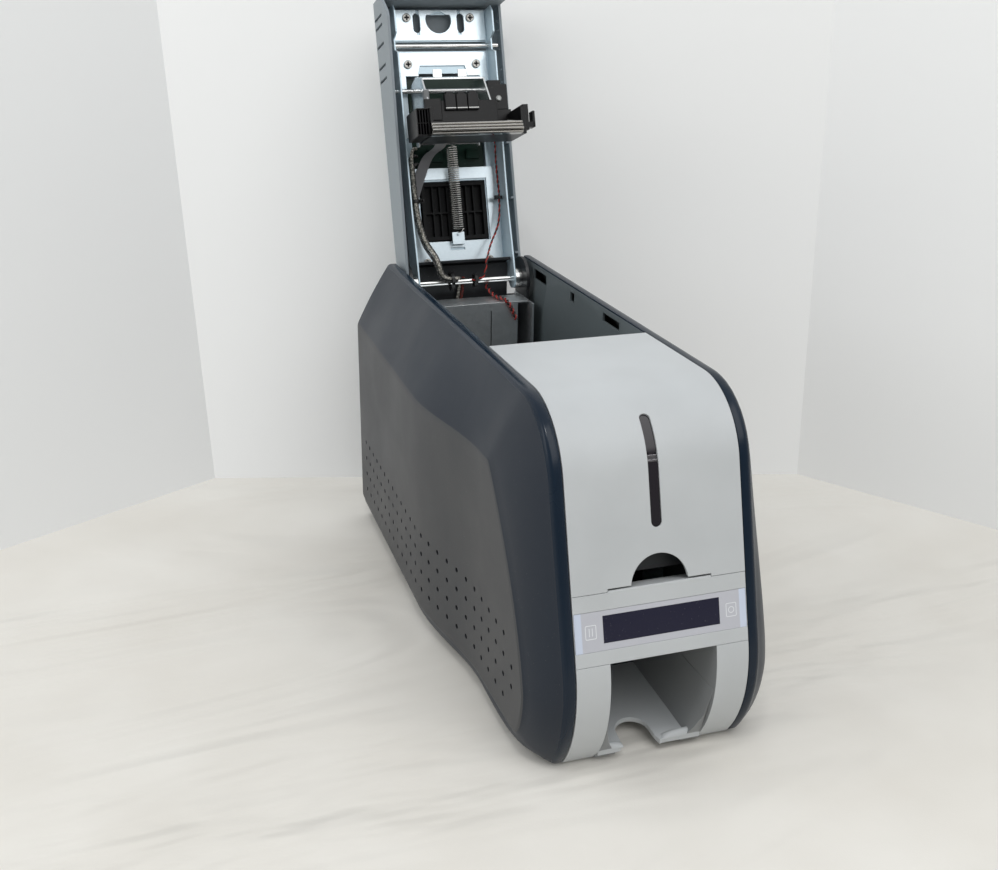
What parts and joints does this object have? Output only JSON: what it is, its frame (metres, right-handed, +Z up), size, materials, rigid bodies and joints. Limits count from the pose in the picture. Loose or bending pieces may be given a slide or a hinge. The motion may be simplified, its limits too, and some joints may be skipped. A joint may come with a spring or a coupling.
{
  "type": "id card printer",
  "caption": "Desktop card printer with a long hinged rear cover standing open, showing its print head, rollers and ribbon hubs, and a front hopper with a display strip.",
  "frame": {"origin": "middle of the floor area that the printer covers with its rear cover open, on the floor", "axes": "+X to the right as seen from the front, +Y to the back, +Z up"},
  "size_m": [0.179, 0.4648, 0.4072],
  "materials": {
    "shell_navy": "fine satin texture with a glossier rim bead",
    "body_grey": "fine matte",
    "cover_grey": "fine matte",
    "black_plastic": "satin",
    "hinge_black": "satin",
    "port_black": "satin",
    "rocker_black": "glossy",
    "zinc_sheet": "zinc plated",
    "cover_sheet": "zinc plated",
    "cover_plate": "zinc plated",
    "pan_sheet": "zinc plated",
    "ground_steel": "ground and polished",
    "spring_wire": "bright drawn wire",
    "port_steel": "bright tin plate",
    "screw_steel": "nickel plated",
    "foot_rubber": "matte",
    "roller_rubber": "ground matte rubber on a steel shaft",
    "cleaner_blue": "tacky satin",
    "belt_rubber": "matte",
    "motor_metal": "satin",
    "pulley_metal": "turned",
    "gear_plastic": "satin acetal",
    "board_green": "glossy solder mask",
    "cover_board_green": "glossy solder mask",
    "display_board_green": "glossy solder mask",
    "overlay_print": "printed film",
    "display_glass": "glossy",
    "window_smoke": "smoky glossy",
    "lead_black": "satin sheath",
    "flat_cable": "satin",
    "tie_nylon": "satin nylon",
    "carrier_black": "satin",
    "head_ceramic": "glazed ceramic on an aluminium base",
    "housing_black": "satin"
  },
  "bodies": {
    "chassis": {"left_shell": "shell_navy", "right_shell": "shell_navy", "base_pan": "pan_sheet", "rubber_feet": "foot_rubber", "rear_panel": "black_plastic", "power_inlet": "port_black", "data_ports": "port_steel", "switch_frame": "port_black", "left_side_plate": "zinc_sheet", "right_side_plate": "zinc_sheet", "hinge_ledge": "zinc_sheet", "hinge_rod": "ground_steel", "hinge_blocks": "hinge_black", "hinge_bushes": "ground_steel", "feeder_tray": "black_plastic", "hopper_bulkhead": "black_plastic", "display_bezel": "body_grey", "display_overlay": "overlay_print", "display_glass": "display_glass", "display_board": "display_board_green", "output_hopper": "body_grey", "card_track": "black_plastic", "drive_belt": "belt_rubber", "motor_belt": "belt_rubber", "drive_motor": "motor_metal", "ribbon_bracket": "zinc_sheet", "ribbon_motor": "motor_metal", "main_board": "board_green", "body_wires": "lead_black"},
    "power_rocker": {"power_rocker": "rocker_black"},
    "hopper_lid": {"hopper_cover": "body_grey", "hopper_window": "window_smoke"},
    "card_pusher": {"card_pusher": "black_plastic"},
    "pickup_roller": {"pickup_roller": "roller_rubber"},
    "front_drive_roller": {"front_drive_roller": "roller_rubber"},
    "platen_roller": {"platen_roller": "roller_rubber"},
    "rear_drive_roller": {"rear_drive_roller": "roller_rubber"},
    "cleaning_roller": {"cleaning_roller": "cleaner_blue"},
    "motor_pulley": {"motor_pulley": "pulley_metal"},
    "takeup_hub": {"takeup_hub": "gear_plastic"},
    "ribbon_pinion": {"ribbon_pinion": "gear_plastic"},
    "supply_hub": {"supply_hub": "gear_plastic"},
    "rear_cover": {"cover_shell": "cover_grey", "cover_frame": "cover_sheet", "cover_plates": "cover_plate", "cross_rod": "ground_steel", "cover_housing": "housing_black", "cover_board": "cover_board_green", "lift_spring": "spring_wire", "head_shaft": "ground_steel", "flat_cable": "flat_cable", "cover_cables": "lead_black", "sensor_wire": "lead_black", "cable_ties": "tie_nylon", "cover_screws": "screw_steel"},
    "print_head_assembly": {"head_arm": "cover_sheet", "head_carrier": "carrier_black", "print_head": "head_ceramic", "head_spring": "spring_wire", "sensor_block": "carrier_black"}
  },
  "joints": [
    {"name": "rear_cover_hinge", "type": "hinge", "parent": "chassis", "child": "rear_cover", "pos_m": [0, 0.1465, 0.196], "axis": [1, 0, 0], "range_deg": [0, 107]},
    {"name": "head_pivot", "type": "hinge", "parent": "rear_cover", "child": "print_head_assembly", "pos_m": [0, 0.198, 0.33711], "axis": [1, 0, 0], "range_deg": [0, 3], "stiffness_Nm_per_rad": 8, "springref_deg": -2.01, "deforming": ["lift_spring", "flat_cable"]},
    {"name": "hopper_lid_hinge", "type": "hinge", "parent": "chassis", "child": "hopper_lid", "pos_m": [0, -0.0815, 0.206], "axis": [-1, 0, 0], "range_deg": [0, 75]},
    {"name": "card_pusher_slide", "type": "slide", "parent": "chassis", "child": "card_pusher", "axis": [0, 0, 1], "range_m": [0, 0.054]},
    {"name": "power_rocker_tilt", "type": "hinge", "parent": "chassis", "child": "power_rocker", "pos_m": [-0.03, 0.155, 0.056], "axis": [1, 0, 0], "range_deg": [-14, 0]},
    {"name": "platen_spin", "type": "hinge", "parent": "chassis", "child": "platen_roller", "pos_m": [0, 0.0385, 0.118], "axis": [1, 0, 0], "continuous": true},
    {"name": "pickup_spin", "type": "hinge", "parent": "chassis", "child": "pickup_roller", "pos_m": [0, -0.1375, 0.118], "axis": [1, 0, 0], "continuous": true},
    {"name": "front_drive_spin", "type": "hinge", "parent": "chassis", "child": "front_drive_roller", "pos_m": [0, -0.0255, 0.118], "axis": [1, 0, 0], "continuous": true},
    {"name": "rear_drive_spin", "type": "hinge", "parent": "chassis", "child": "rear_drive_roller", "pos_m": [0, 0.1025, 0.118], "axis": [1, 0, 0], "continuous": true},
    {"name": "motor_spin", "type": "hinge", "parent": "chassis", "child": "motor_pulley", "pos_m": [0, 0.0385, 0.081], "axis": [1, 0, 0], "continuous": true},
    {"name": "cleaning_spin", "type": "hinge", "parent": "chassis", "child": "cleaning_roller", "pos_m": [0, -0.0917, 0.1353], "axis": [1, 0, 0], "continuous": true},
    {"name": "takeup_spin", "type": "hinge", "parent": "chassis", "child": "takeup_hub", "pos_m": [0, -0.0075, 0.15], "axis": [1, 0, 0], "continuous": true},
    {"name": "ribbon_pinion_spin", "type": "hinge", "parent": "chassis", "child": "ribbon_pinion", "pos_m": [0, -0.0075, 0.1292], "axis": [1, 0, 0], "continuous": true},
    {"name": "supply_spin", "type": "hinge", "parent": "chassis", "child": "supply_hub", "pos_m": [0, 0.0845, 0.15], "axis": [1, 0, 0], "continuous": true}
  ],
  "couplings": [
    {"joint": "pickup_spin", "follows": "platen_spin", "ratio": 1},
    {"joint": "front_drive_spin", "follows": "platen_spin", "ratio": 1},
    {"joint": "rear_drive_spin", "follows": "platen_spin", "ratio": 1},
    {"joint": "motor_spin", "follows": "platen_spin", "ratio": 1.4},
    {"joint": "cleaning_spin", "follows": "platen_spin", "ratio": -1.2857},
    {"joint": "ribbon_pinion_spin", "follows": "takeup_spin", "ratio": -3.3333}
  ]
}
